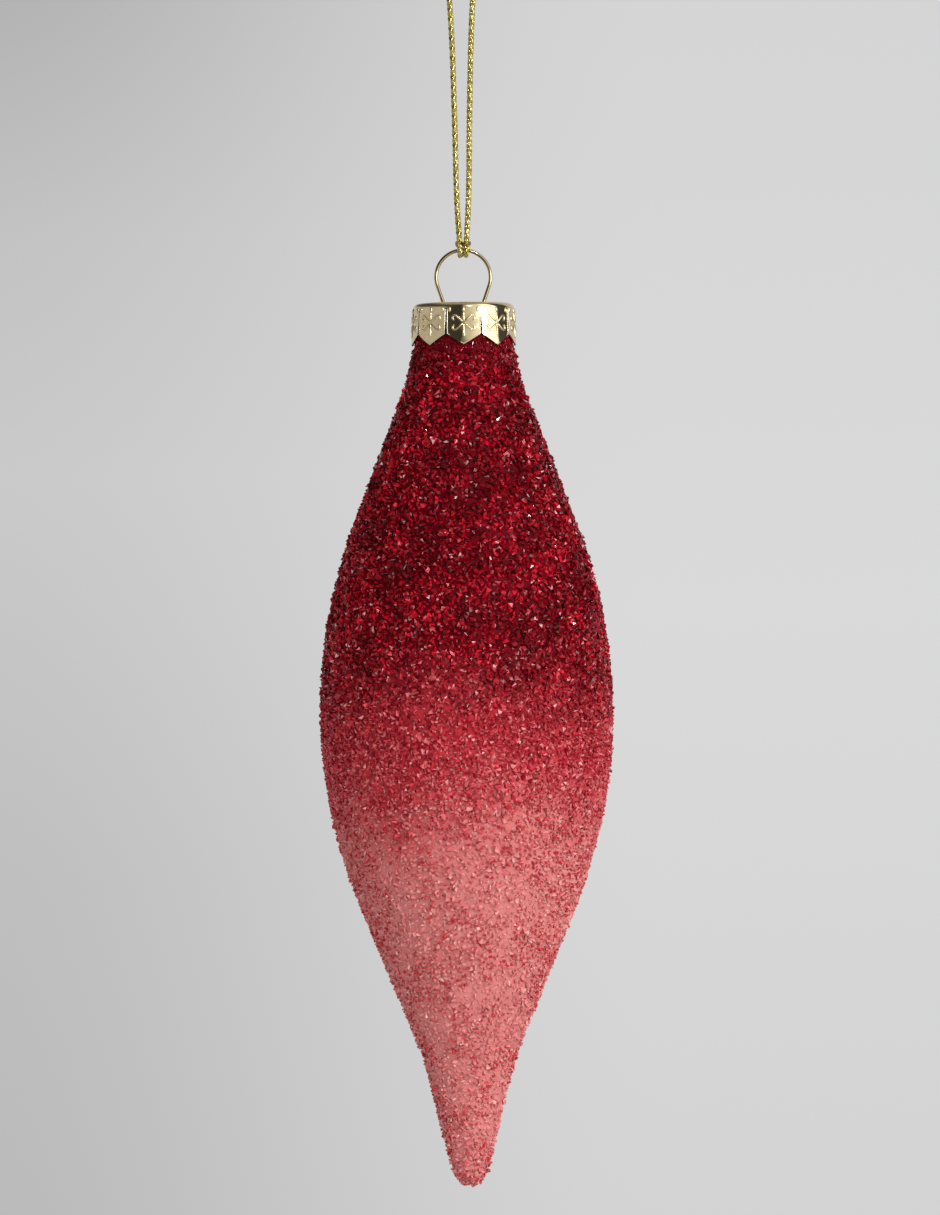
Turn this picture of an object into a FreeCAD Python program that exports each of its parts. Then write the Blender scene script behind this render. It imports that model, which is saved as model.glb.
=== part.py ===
"""Teardrop ornament: a blown glass drop with a crushed glass coat, a petalled
metal crown, a sprung wire hanger and a knotted cord loop. Millimetres, Z up.

Every piece is drawn in one drawing frame whose zero level is the crown's flat
top. Each piece is then placed hang_height lower, so that the part's own origin
is the point where a hook carries the cord loop."""

import FreeCAD, Part
import math
import os
import random

from FreeCAD import Placement, Rotation, Vector
from Sketcher import Constraint

doc = FreeCAD.newDocument("teardrop_ornament")
sheet = doc.addObject("Spreadsheet::Sheet", "sizes")

SIZES = {
    # where it hangs
    "hang_height": 66.0,       # hook point above the crown's flat top
    # blown glass drop, outer surface
    "glass_wall": 0.9,
    "lip_gap": 0.05,           # crown plate to the neck's lip
    "neck_radius": 8.1,
    "neck_length": 4.5,        # straight neck below the crown's top
    "shoulder_length": 68.8,   # end of the neck to the widest level
    "shoulder_fill": 0.868,    # 1 is all curve, less leaves a straight flank
    "neck_share": 0.2615,      # part of the shoulder's curves that is hollow
    "belly_radius": 25.4,
    "lower_length": 76.0,      # widest level to the hollow above the tip
    "lower_fill": 0.896,
    "tail_share": 0.3295,
    "tail_radius": 5.5,
    "tail_length": 8.7,        # hollow to the end of the glass
    "tip_round": 2.5,
    # crushed glass coat
    "glue_film": 0.05,
    "coat_thickness": 0.85,
    "coat_tuck": 0.2,          # upper edge above the end of the straight neck
    "grain_pitch": 2.2,
    "grain_relief": 0.34,
    # stamped crown
    "crown_sheet": 0.25,
    "crown_depth": 7.7,        # flat top to petal points
    "crown_flare": 0.4,        # foot radius less top radius
    "crown_shoulder": 1.0,
    "crown_play": 0.25,        # petals to the coat inside them
    "petal_count": 9,
    "petal_point": 1.95,       # height of each petal's pointed end
    "slit_start": 1.2,         # top of each slit below the flat top
    "slit_top": 0.14,
    "slit_foot": 0.36,
    # star stamped on each petal
    "stamp_rise": 0.12,        # ridges above the sheet
    "stroke_width": 0.26,
    "star_depth": 3.75,        # star's middle below the flat top
    "star_eye": 0.35,          # star's middle to each arm
    "upper_arm": 1.4,
    "lower_arm": 2.0,
    "slanting_arm": 1.4,
    "hook_radius": 0.42,       # centreline of the hook that ends a slanting arm
    "dimple_depth": 1.4,       # oval dimples' middles below the flat top
    "dimple_height": 0.72,
    "dimple_width": 0.42,
    "dimple_spread": 2.5,
    # sprung wire hanger
    "wire_diameter": 0.65,
    "ring_radius": 4.9,        # centreline
    "ring_rise": 4.75,         # ring centre above the crown's top
    "hole_spread": 3.5,        # each wire hole from the axis
    "hole_play": 0.14,
    "bend_radius": 1.5,
    "bend_depth": 2.4,
    "leg_depth": 9.0,
    "leg_play": 0.2,           # leg end to the inside of the neck
    # cord loop
    "cord_diameter": 1.0,
    "knot_radius": 1.75,
    "knot_gap": 0.15,
    "cord_end_length": 8.0,
}

# Sizes that follow from the driving ones. The hollow and round curves of each flank
# share the largest sum of radii that still leaves a straight stretch between them.
WORKED_OUT = {
    "shoulder_reach": "belly_radius - neck_radius",
    "shoulder_curves": "shoulder_fill * (shoulder_length^2 + shoulder_reach^2) / (2 * shoulder_reach)",
    "neck_sweep": "neck_share * shoulder_curves",
    "upper_belly": "shoulder_curves - neck_sweep",
    "lower_reach": "belly_radius - tail_radius",
    "lower_curves": "lower_fill * (lower_length^2 + lower_reach^2) / (2 * lower_reach)",
    "tail_sweep": "tail_share * lower_curves",
    "lower_belly": "lower_curves - tail_sweep",
    "belly_depth": "neck_length + shoulder_length",
    "tail_depth": "belly_depth + lower_length",
    "glass_length": "tail_depth + tail_length",
    "coat_edge": "neck_length - coat_tuck",
    "coat_reach": "glue_film + coat_thickness",
    "foot_radius": "neck_radius + coat_reach + crown_play + crown_sheet",
    "half_petal": "foot_radius * sin(180 / petal_count)",
    "leg_reach": "neck_radius - glass_wall - wire_diameter / 2 - leg_play",
}

rows = [(name, str(size)) for name, size in SIZES.items()]
rows += [(name, "=" + formula) for name, formula in WORKED_OUT.items()]
for row, (name, text) in enumerate(rows, start=1):
    sheet.set(f"A{row}", name)
    sheet.set(f"B{row}", text)
    sheet.setAlias(f"B{row}", name)
doc.recompute()


def size_of(name):
    """A driving size, read from the sheet."""
    return float(getattr(sheet, name))


def place_below_hook(piece):
    """Put a finished piece at its level under the hook point."""
    piece.Placement = Placement(Vector(0, 0, -size_of("hang_height")), Rotation())
    piece.setExpression("Placement.Base.z", "-sizes.hang_height")


def origin_plane(body, role):
    """One of a body's own origin planes or axes, by its role."""
    return next(item for item in body.Origin.OriginFeatures if item.Role == role)


def new_body(label):
    """An empty body whose label names its file."""
    body = doc.addObject("PartDesign::Body", label)
    body.Label = label
    return body


def new_sketch(body, name, role="XZ_Plane"):
    """A sketch on one of the body's origin planes."""
    sketch = body.newObject("Sketcher::SketchObject", name)
    sketch.AttachmentSupport = [(origin_plane(body, role), "")]
    sketch.MapMode = "FlatFace"
    return sketch


class Outline:
    """Draws a chain of lines and arcs in a sketch and ties its sizes to the sheet.
    A point of the sketch is (geometry, 1 for start, 2 for end, 3 for centre)."""

    def __init__(self, sketch):
        self.sketch = sketch

    def line(self, start, end):
        return self.sketch.addGeometry(Part.LineSegment(flat(start), flat(end)), False)

    def arc(self, centre, radius, first, last):
        """An arc from one normal angle to another, in radians, either way round."""
        low, high = min(first, last), max(first, last)
        circle = Part.Circle(flat(centre), Vector(0, 0, 1), radius)
        return self.sketch.addGeometry(Part.ArcOfCircle(circle, low, high), False)

    def circle(self, centre, radius):
        return self.sketch.addGeometry(Part.Circle(flat(centre), Vector(0, 0, 1), radius), False)

    def join(self, first, second):
        self.sketch.addConstraint(Constraint("Coincident", *first, *second))

    def blend(self, first, second):
        """Join two ends so that the outline runs on without a corner."""
        self.sketch.addConstraint(Constraint("Tangent", *first, *second))

    def origin(self):
        """The sketch's own zero point."""
        return (-1, 1)

    def on_axis(self, point):
        """Hold a point on the sketch's vertical axis."""
        self.sketch.addConstraint(Constraint("PointOnObject", *point, -2))

    def mirror(self, first, second):
        """Hold two points level and equally far from the vertical axis."""
        self.sketch.addConstraint(Constraint("Symmetric", *first, *second, -2))

    def level(self, geometry):
        self.sketch.addConstraint(Constraint("Horizontal", geometry))

    def upright(self, geometry):
        self.sketch.addConstraint(Constraint("Vertical", geometry))

    def tie(self, kind, operands, size, expression):
        """A driving constraint whose value follows an expression on the sheet."""
        index = self.sketch.addConstraint(Constraint(kind, *operands, size))
        self.sketch.setExpression(f"Constraints[{index}]", expression)

    def radius(self, geometry, size, expression):
        self.tie("Radius", (geometry,), size, expression)

    def across(self, first, second, size, expression):
        """Distance along X from the first point to the second."""
        self.tie("DistanceX", (*first, *second), size, expression)

    def up(self, first, second, size, expression):
        """Distance along Z from the first point to the second."""
        self.tie("DistanceY", (*first, *second), size, expression)


def flat(point):
    """An (x, z) pair as a vector in the sketch's own plane."""
    return Vector(point[0], point[1], 0)


def common_tangent(first, second):
    """Angle of the outward normal of the line that touches two circles. A circle is
    (x, z, radius), the radius negative where the circle lies outside the outline."""
    across = first[0] - second[0]
    along = first[1] - second[1]
    bearing = math.atan2(along, across)
    swing = math.acos((second[2] - first[2]) / math.hypot(across, along))
    choices = [bearing + swing, bearing - swing]
    wrapped = [(angle + math.pi) % (2 * math.pi) - math.pi for angle in choices]
    return min(wrapped, key=abs)


def touch_point(circle, normal):
    """Where a tangent line with this normal touches a circle."""
    return (circle[0] + circle[2] * math.cos(normal), circle[1] + circle[2] * math.sin(normal))


def drop_circles(offset):
    """The five circles of the drop's outline, neck to tip, moved out by offset: hollow
    neck, upper belly, lower belly, hollow tail and round tip."""
    belly_level = -size_of("belly_depth")
    neck = (size_of("neck_radius") + size_of("neck_sweep"), -size_of("neck_length"),
            offset - size_of("neck_sweep"))
    upper = (size_of("belly_radius") - size_of("upper_belly"), belly_level,
             offset + size_of("upper_belly"))
    lower = (size_of("belly_radius") - size_of("lower_belly"), belly_level,
             offset + size_of("lower_belly"))
    tail = (size_of("tail_radius") + size_of("tail_sweep"), -size_of("tail_depth"),
            offset - size_of("tail_sweep"))
    tip = (0.0, size_of("tip_round") - size_of("glass_length"), offset + size_of("tip_round"))
    return [neck, upper, lower, tail, tip]


def drop_normals(circles):
    """Normal angles at both ends of every arc, from the level neck to the tip. The two
    belly arcs meet at the widest level, where the normal is level too."""
    neck, upper, lower, tail, tip = circles
    shoulder = common_tangent(neck, upper)
    flank = common_tangent(lower, tail)
    end = common_tangent(tail, tip)
    return [0.0, shoulder, 0.0, flank, end, -math.pi / 2]


def straight_after(index):
    """Whether a straight stretch follows this arc of the drop's outline."""
    return index in (0, 2, 3)


def upper_end(first, last):
    """Which end of a sketch arc is its upper one, given its two normal angles."""
    return 2 if first > last else 1


def draw_drop(body, name, inset, inset_text, top, top_text):
    """The drop's half outline: straight neck, hollow sweep, flank, belly, flank,
    hollow tail and round tip, closed along the axis. Inset moves it into the glass."""
    outline = Outline(new_sketch(body, name))
    circles = drop_circles(-inset)
    normals = drop_normals(circles)
    neck_top = (size_of("neck_radius") - inset, top)
    neck_line = outline.line(neck_top, touch_point(circles[0], normals[0]))
    open_end = (neck_line, 2)
    arcs = []
    for i, circle in enumerate(circles):
        first, last = normals[i], normals[i + 1]
        hollow = circle[2] < 0
        side = math.pi if hollow else 0.0
        arc = outline.arc(circle, abs(circle[2]), first + side, last + side)
        upper = upper_end(first, last)
        outline.blend(open_end, (arc, upper))
        open_end = (arc, 3 - upper)
        arcs.append(arc)
        if straight_after(i):
            line = outline.line(touch_point(circle, last), touch_point(circles[i + 1], last))
            outline.blend(open_end, (line, 1))
            open_end = (line, 2)
    neck, upper_belly, lower_belly, tail, tip = arcs
    axis_line = outline.line(touch_point(circles[-1], normals[-1]), (0, top))
    top_line = outline.line((0, top), neck_top)
    outline.join(open_end, (axis_line, 1))
    outline.join((axis_line, 2), (top_line, 1))
    outline.join((top_line, 2), (neck_line, 1))

    origin = outline.origin()
    outline.upright(neck_line)
    outline.upright(axis_line)
    outline.level(top_line)
    outline.on_axis((top_line, 1))
    outline.on_axis((tip, 3))
    outline.across(origin, (neck_line, 1), neck_top[0], f"sizes.neck_radius - {inset_text}")
    outline.up(origin, (top_line, 1), top, top_text)
    outline.radius(neck, -circles[0][2], f"sizes.neck_sweep + {inset_text}")
    outline.radius(upper_belly, circles[1][2], f"sizes.upper_belly - {inset_text}")
    outline.radius(lower_belly, circles[2][2], f"sizes.lower_belly - {inset_text}")
    outline.radius(tail, -circles[3][2], f"sizes.tail_sweep + {inset_text}")
    outline.radius(tip, circles[4][2], f"sizes.tip_round - {inset_text}")
    outline.up((neck, 3), origin, -circles[0][1], "sizes.neck_length")
    outline.up((upper_belly, 3), origin, -circles[1][1], "sizes.belly_depth")
    outline.across((upper_belly, 3), origin, -circles[1][0], "sizes.upper_belly - sizes.belly_radius")
    outline.up((lower_belly, 3), origin, -circles[2][1], "sizes.belly_depth")
    outline.up((tail, 3), origin, -circles[3][1], "sizes.tail_depth")
    outline.across(origin, (tail, 3), circles[3][0], "sizes.tail_radius + sizes.tail_sweep")
    outline.up((tip, 3), origin, -circles[4][1], "sizes.glass_length - sizes.tip_round")
    return outline.sketch


def revolve(body, kind, name, sketch):
    """Turn a sketch all the way round the drop's axis."""
    feature = body.newObject(kind, name)
    feature.Profile = sketch
    feature.ReferenceAxis = (sketch, ["V_Axis"])
    feature.Angle = 360
    return feature


def make_glass_body():
    """Blown glass drop: turned outline, hollowed to an even wall through its neck."""
    body = new_body("glass_body")
    lip = -size_of("crown_sheet") - size_of("lip_gap")
    lip_text = "-sizes.crown_sheet - sizes.lip_gap"
    outside = draw_drop(body, "drop_outside", 0.0, "0", lip, lip_text)
    revolve(body, "PartDesign::Revolution", "blown_drop", outside)
    inside = draw_drop(body, "drop_inside", size_of("glass_wall"), "sizes.glass_wall", lip, lip_text)
    revolve(body, "PartDesign::Groove", "hollow", inside)
    place_below_hook(body)
    return body


def outline_stretches(offset, top):
    """The drop's outline from a level on its neck down to the tip, as stretches. A
    stretch is its start, its end, and its normal angles there; an arc adds its circle."""
    circles = drop_circles(offset)
    normals = drop_normals(circles)
    neck_end = touch_point(circles[0], 0.0)
    stretches = [((neck_end[0], top), neck_end, 0.0, 0.0, None)]
    for i, circle in enumerate(circles):
        first, last = normals[i], normals[i + 1]
        arc_end = touch_point(circle, last)
        stretches.append((touch_point(circle, first), arc_end, first, last, circle))
        if straight_after(i):
            stretches.append((arc_end, touch_point(circles[i + 1], last), last, last, None))
    return stretches


def surface_stations(step):
    """Points and outward normals down the glass, a step apart along its outline."""
    stations = []
    along = 0.0
    for start, end, first, last, circle in outline_stretches(0.0, -size_of("coat_edge")):
        length = abs(circle[2] * (last - first)) if circle else math.dist(start, end)
        while along < length:
            share = along / length
            normal = first + (last - first) * share
            straight = tuple(a + (b - a) * share for a, b in zip(start, end))
            stations.append((touch_point(circle, normal) if circle else straight, normal))
            along += step
        along -= length
    return stations


def grain_rings(chance):
    """Rings of grain corners round the coat, each a list of (angle, corner)."""
    pitch = size_of("grain_pitch")
    relief = size_of("grain_relief")
    thickness = size_of("coat_reach")
    covered = -size_of("crown_depth") - pitch
    rings = []
    for (radius, level), normal in surface_stations(pitch * math.sqrt(0.75)):
        outer = radius + thickness * math.cos(normal)
        if outer < pitch / 2:
            break
        count = max(5, round(2 * math.pi * outer / pitch))
        free = level < covered
        turn = chance.random() * 2 * math.pi / count
        ring = []
        for i in range(count):
            angle = turn + (i + chance.uniform(-0.22, 0.22)) * 2 * math.pi / count
            rise = thickness + (chance.uniform(-relief, relief) if free else 0.0)
            shift = chance.uniform(-relief, relief) if free else 0.0
            reach = radius + rise * math.cos(normal) - shift * math.sin(normal)
            height = level + rise * math.sin(normal) + shift * math.cos(normal)
            ring.append((angle, Vector(reach * math.cos(angle), reach * math.sin(angle), height)))
        rings.append(ring)
    return rings


def facets_between(upper, lower, upper_start, lower_start):
    """Triangles that fill the band between two rings of corners."""
    full = 2 * math.pi
    first_angle = upper[0][0]

    def turn_from(angle):
        return (angle - first_angle + math.pi) % full - math.pi

    nearest = min(range(len(lower)), key=lambda i: abs(turn_from(lower[i][0])))
    upper_turns = [angle - first_angle for angle, corner in upper] + [full]
    base = turn_from(lower[nearest][0])
    order = [(nearest + i) % len(lower) for i in range(len(lower) + 1)]
    lower_turns = [base + (lower[i][0] - lower[nearest][0]) % full for i in order[:-1]] + [base + full]
    facets = []
    i = 0
    k = 0
    while i < len(upper) or k < len(lower):
        a = upper_start + i % len(upper)
        b = lower_start + order[k]
        step_upper = k == len(lower) or (i < len(upper) and upper_turns[i + 1] < lower_turns[k + 1])
        if step_upper:
            i += 1
            facets.append((a, b, upper_start + i % len(upper)))
        else:
            k += 1
            facets.append((a, b, lower_start + order[k]))
    return facets


def crust_surface(rings, tip):
    """The broken outer face of the coat as one shell of flat facets."""
    corners = [corner for ring in rings for angle, corner in ring] + [tip]
    facets = []
    start = 0
    for upper, lower in zip(rings, rings[1:]):
        facets += facets_between(upper, lower, start, start + len(upper))
        start += len(upper)
    last = len(rings[-1])
    facets += [(start + i, len(corners) - 1, start + (i + 1) % last) for i in range(last)]
    shell = Part.Shape()
    shell.makeShapeFromMesh((corners, facets), 0.0001)
    return shell


def seat_surface(offset, top):
    """The coat's smooth inner face, which follows the glass a glue film away."""
    edges = []
    for start, end, first, last, circle in outline_stretches(offset, top):
        ends = [Vector(start[0], 0, start[1]), Vector(end[0], 0, end[1])]
        if circle:
            middle = touch_point(circle, (first + last) / 2)
            edges.append(Part.Arc(ends[0], Vector(middle[0], 0, middle[1]), ends[1]).toShape())
        else:
            edges.append(Part.makeLine(*ends))
    return Part.Wire(edges).revolve(Vector(0, 0, 0), Vector(0, 0, 1), 360)


def make_crushed_glass_coat():
    """Crushed glass glued all over the drop: one shell, smooth on the glass side and
    broken into grains outside, with its upper edge tucked under the crown's petals."""
    chance = random.Random(11)
    rings = grain_rings(chance)
    reach = size_of("glass_length") + size_of("coat_reach")
    crust = crust_surface(rings, Vector(0, 0, -reach))
    top = -size_of("coat_edge")
    rim = [corner for angle, corner in rings[0]]
    rim_wire = Part.makePolygon(rim + rim[:1])
    seat_radius = size_of("neck_radius") + size_of("glue_film")
    seat_wire = Part.Wire(Part.makeCircle(seat_radius, Vector(0, 0, top)))
    upper_edge = Part.makeFace([rim_wire, seat_wire], "Part::FaceMakerBullseye")
    seat = seat_surface(size_of("glue_film"), top)
    shell = Part.Shell(crust.Faces + seat.Faces + [upper_edge])
    shell.sewShape()
    solid = Part.Solid(shell)
    if solid.Volume < 0:
        solid.reverse()
    coat = doc.addObject("Part::Feature", "crushed_glass_coat")
    coat.Label = "crushed_glass_coat"
    coat.Shape = solid
    place_below_hook(coat)
    return coat


def draw_crown(body, name, inset, inset_text, extra):
    """Half outline of the crown: flat top, rounded shoulder and flared skirt, moved
    in by inset and run down below the petal points by extra."""
    outline = Outline(new_sketch(body, name))
    depth = size_of("crown_depth") + extra
    foot = size_of("foot_radius") - inset
    shoulder = (foot - size_of("crown_flare") - size_of("crown_shoulder") + inset,
                -size_of("crown_shoulder"), size_of("crown_shoulder") - inset)
    end = (foot, -depth, 0.0)
    lean = common_tangent(shoulder, end)
    skirt_top = touch_point(shoulder, lean)
    top_end = (shoulder[0], -inset)
    top_line = outline.line((0, -inset), top_end)
    shoulder_arc = outline.arc(shoulder, shoulder[2], lean, math.pi / 2)
    skirt = outline.line(skirt_top, (foot, -depth))
    foot_line = outline.line((foot, -depth), (0, -depth))
    axis_line = outline.line((0, -depth), (0, -inset))
    outline.blend((top_line, 2), (shoulder_arc, 2))
    outline.blend((shoulder_arc, 1), (skirt, 1))
    outline.join((skirt, 2), (foot_line, 1))
    outline.join((foot_line, 2), (axis_line, 1))
    outline.join((axis_line, 2), (top_line, 1))
    origin = outline.origin()
    outline.level(top_line)
    outline.level(foot_line)
    outline.upright(axis_line)
    outline.on_axis((top_line, 1))
    outline.up((shoulder_arc, 3), origin, -shoulder[1], "sizes.crown_shoulder")
    outline.radius(shoulder_arc, shoulder[2], f"sizes.crown_shoulder - {inset_text}")
    outline.across(origin, (shoulder_arc, 3), shoulder[0],
                   "sizes.foot_radius - sizes.crown_flare - sizes.crown_shoulder")
    outline.across(origin, (skirt, 2), foot, f"sizes.foot_radius - {inset_text}")
    outline.up((skirt, 2), origin, depth, f"sizes.crown_depth + {extra}")
    return outline.sketch


def draw_petal_gap(body):
    """The gap between two petals: a slit that widens downward, then the notch that
    leaves both petals pointed. Its outline runs on a little below the points."""
    outline = Outline(new_sketch(body, "petal_gap"))
    run_on = size_of("crown_shoulder")
    half = [
        (size_of("slit_top") / 2, size_of("slit_start")),
        (size_of("slit_foot") / 2, size_of("crown_depth") - size_of("petal_point")),
        (size_of("half_petal"), size_of("crown_depth")),
        (size_of("half_petal"), size_of("crown_depth") + run_on),
    ]
    ties = [
        ("sizes.slit_top / 2", "sizes.slit_start"),
        ("sizes.slit_foot / 2", "sizes.crown_depth - sizes.petal_point"),
        ("sizes.half_petal", "sizes.crown_depth"),
        ("sizes.half_petal", "sizes.crown_depth + sizes.crown_shoulder"),
    ]
    corners = [(x, -depth) for x, depth in half] + [(-x, -depth) for x, depth in reversed(half)]
    sides = [outline.line(a, b) for a, b in zip(corners, corners[1:] + corners[:1])]
    for a, b in zip(sides, sides[1:] + sides[:1]):
        outline.join((a, 2), (b, 1))
    right = sides[:len(half)]
    for right_side, left_side in zip(right, reversed(sides[len(half):])):
        outline.mirror((right_side, 1), (left_side, 1))
    for side, (x, depth), (across_text, down_text) in zip(right, half, ties):
        outline.across(outline.origin(), (side, 1), x, across_text)
        outline.up((side, 1), outline.origin(), depth, down_text)
    return outline.sketch


def draw_wire_holes(body):
    """Two round holes through the crown's flat top for the hanger's legs."""
    outline = Outline(new_sketch(body, "wire_holes", "XY_Plane"))
    radius = size_of("wire_diameter") / 2 + size_of("hole_play")
    spread = size_of("hole_spread")
    right = outline.circle((spread, 0), radius)
    left = outline.circle((-spread, 0), radius)
    for hole in (right, left):
        outline.sketch.addConstraint(Constraint("PointOnObject", hole, 3, -1))
        outline.radius(hole, radius, "sizes.wire_diameter / 2 + sizes.hole_play")
    outline.across(outline.origin(), (right, 3), spread, "sizes.hole_spread")
    outline.across((left, 3), outline.origin(), spread, "sizes.hole_spread")
    return outline.sketch


def make_crown_blank():
    """The crown before stamping: thin turned cap, slit and pointed into petals, with
    two holes for the wire."""
    body = new_body("crown_blank")
    revolve(body, "PartDesign::Revolution", "cap_blank", draw_crown(body, "cap_outside", 0.0, "0", 0))
    inside = draw_crown(body, "cap_inside", size_of("crown_sheet"), "sizes.crown_sheet", 1)
    revolve(body, "PartDesign::Groove", "cap_inner_face", inside)
    gap = body.newObject("PartDesign::Pocket", "petal_cut")
    gap.Profile = draw_petal_gap(body)
    gap.Length = 2 * size_of("foot_radius")
    gap.setExpression("Length", "2 * sizes.foot_radius")
    gaps = body.newObject("PartDesign::PolarPattern", "petal_cuts")
    gaps.Originals = [gap]
    gaps.Axis = (origin_plane(body, "Z_Axis"), [""])
    gaps.Angle = 360
    gaps.Occurrences = int(size_of("petal_count"))
    gaps.setExpression("Occurrences", "sizes.petal_count")
    body.Tip = gaps
    holes = body.newObject("PartDesign::Pocket", "hanger_holes")
    holes.Profile = draw_wire_holes(body)
    holes.Length = size_of("crown_shoulder")
    holes.setExpression("Length", "sizes.crown_shoulder")
    body.Tip = holes
    return body


def upright_stroke(low, high):
    """Flat face of an upright stroke with round ends, on the middle of a petal."""
    half = size_of("stroke_width") / 2
    corners = [Vector(x, 0, z) for x, z in ((half, low), (half, high), (-half, high), (-half, low))]
    top = Part.Arc(corners[1], Vector(0, 0, high + half), corners[2]).toShape()
    foot = Part.Arc(corners[3], Vector(0, 0, low - half), corners[0]).toShape()
    sides = [Part.makeLine(corners[0], corners[1]), Part.makeLine(corners[2], corners[3])]
    return Part.Face(Part.Wire([sides[0], top, sides[1], foot]))


def hooked_stroke():
    """Flat face of the lower right arm: straight and slanting, then hooked back up."""
    slant = math.radians(-42.5)
    turn = math.radians(205)
    middle = Vector(0, 0, -size_of("star_depth"))
    along = Vector(math.cos(slant), 0, math.sin(slant))
    start = middle + along * size_of("star_eye")
    bend = start + along * size_of("slanting_arm")
    centre = bend + Vector(-along.z, 0, along.x) * size_of("hook_radius")

    def on_hook(share):
        angle = slant - math.pi / 2 + turn * share
        return centre + Vector(math.cos(angle), 0, math.sin(angle)) * size_of("hook_radius")

    hook = Part.Arc(bend, on_hook(0.5), on_hook(1.0)).toShape()
    middle_line = Part.Wire([Part.makeLine(start, bend), hook])
    return Part.Face(middle_line.makeOffset2D(size_of("stroke_width") / 2))


def oval_dimple(across):
    """Flat face of one oval dimple above the star."""
    middle = Vector(across, 0, -size_of("dimple_depth"))
    top = middle + Vector(0, 0, size_of("dimple_height") / 2)
    side = middle + Vector(size_of("dimple_width") / 2, 0, 0)
    return Part.Face(Part.Wire(Part.Ellipse(top, side, middle).toShape()))


def petal_stamping():
    """Flat faces of the star and the dimples on the front petal."""
    level = -size_of("star_depth")
    eye = size_of("star_eye")
    arm = hooked_stroke()
    upper_arm = arm.mirror(Vector(0, 0, level), Vector(0, 0, 1))
    across = Vector(1, 0, 0)
    faces = [arm, upper_arm, arm.mirror(Vector(), across), upper_arm.mirror(Vector(), across)]
    faces.append(upright_stroke(level + eye, level + eye + size_of("upper_arm")))
    faces.append(upright_stroke(level - eye - size_of("lower_arm"), level - eye))
    faces += [oval_dimple(side * size_of("dimple_spread")) for side in (-1, 0, 1)]
    return faces


def ridge_band():
    """The ring that the ridges are cut from: half the sheet deep, and stamp_rise above
    the straight skirt."""
    foot = size_of("foot_radius")
    round_edge = size_of("crown_shoulder")
    shoulder = (foot - size_of("crown_flare") - round_edge, -round_edge, round_edge)
    end = (foot, -size_of("crown_depth"), 0.0)
    lean = common_tangent(shoulder, end)
    rise = size_of("stamp_rise")
    sunk = -size_of("crown_sheet") / 2
    corners = []
    for (x, z, radius), offset in ((shoulder, rise), (end, rise), (end, sunk), (shoulder, sunk)):
        touch = touch_point((x, z, radius + offset), lean)
        corners.append(Vector(touch[0], 0, touch[1]))
    profile = Part.Face(Part.makePolygon(corners + corners[:1]))
    return profile.revolve(Vector(), Vector(0, 0, 1), 360)


def make_crown_cap():
    """Stamped crown: the blank with a hooked star and three dimples on each petal."""
    blank = make_crown_blank()
    doc.recompute()
    forward = Vector(0, -size_of("foot_radius") - 2 * size_of("stamp_rise"), 0)
    columns = Part.Compound([face.extrude(forward) for face in petal_stamping()])
    ridges = ridge_band().common(columns)
    petals = []
    for i in range(int(size_of("petal_count"))):
        turned = ridges.copy()
        turned.rotate(Vector(), Vector(0, 0, 1), 360 * i / size_of("petal_count"))
        petals += turned.Solids
    crown = doc.addObject("Part::Feature", "crown_cap")
    crown.Label = "crown_cap"
    stamped = blank.Shape.multiFuse(petals).removeSplitter()
    if len(stamped.Solids) != 1:
        raise RuntimeError("a stamped ridge stands clear of the crown")
    crown.Shape = stamped.Solids[0]
    place_below_hook(crown)
    return crown


def draw_hanger_half(body):
    """Half of the bent wire's centreline: from the ring's top round to the tangent
    leg, through the crown's hole, round the bend and out to the neck's wall."""
    outline = Outline(new_sketch(body, "hanger_path"))
    ring = (0.0, size_of("ring_rise"), size_of("ring_radius"))
    hole = (size_of("hole_spread"), -size_of("crown_sheet") / 2)
    lean = common_tangent(ring, (*hole, 0.0))
    line_offset = hole[0] * math.cos(lean) + hole[1] * math.sin(lean)
    bend_z = -size_of("bend_depth")
    bend_radius = size_of("bend_radius")
    bend_x = (line_offset + bend_radius - bend_z * math.sin(lean)) / math.cos(lean)
    bend = (bend_x, bend_z, -bend_radius)
    end = (size_of("leg_reach"), -size_of("leg_depth"))
    splay = common_tangent(bend, (*end, 0.0))
    ring_arc = outline.arc(ring, ring[2], lean, math.pi / 2)
    leg = outline.line(touch_point(ring, lean), touch_point(bend, lean))
    bend_arc = outline.arc(bend, bend_radius, lean + math.pi, splay + math.pi)
    foot = outline.line(touch_point(bend, splay), end)
    outline.blend((ring_arc, 1), (leg, 1))
    outline.blend((leg, 2), (bend_arc, 1))
    outline.blend((bend_arc, 2), (foot, 1))
    hole_mark = outline.sketch.addGeometry(Part.Point(flat(hole)), True)
    outline.sketch.addConstraint(Constraint("PointOnObject", hole_mark, 1, leg))
    origin = outline.origin()
    outline.on_axis((ring_arc, 3))
    outline.on_axis((ring_arc, 2))
    outline.radius(ring_arc, ring[2], "sizes.ring_radius")
    outline.up(origin, (ring_arc, 3), ring[1], "sizes.ring_rise")
    outline.across(origin, (hole_mark, 1), hole[0], "sizes.hole_spread")
    outline.up((hole_mark, 1), origin, -hole[1], "sizes.crown_sheet / 2")
    outline.radius(bend_arc, bend_radius, "sizes.bend_radius")
    outline.up((bend_arc, 3), origin, -bend_z, "sizes.bend_depth")
    outline.across(origin, (foot, 2), end[0], "sizes.leg_reach")
    outline.up((foot, 2), origin, -end[1], "sizes.leg_depth")
    return outline.sketch


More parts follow.
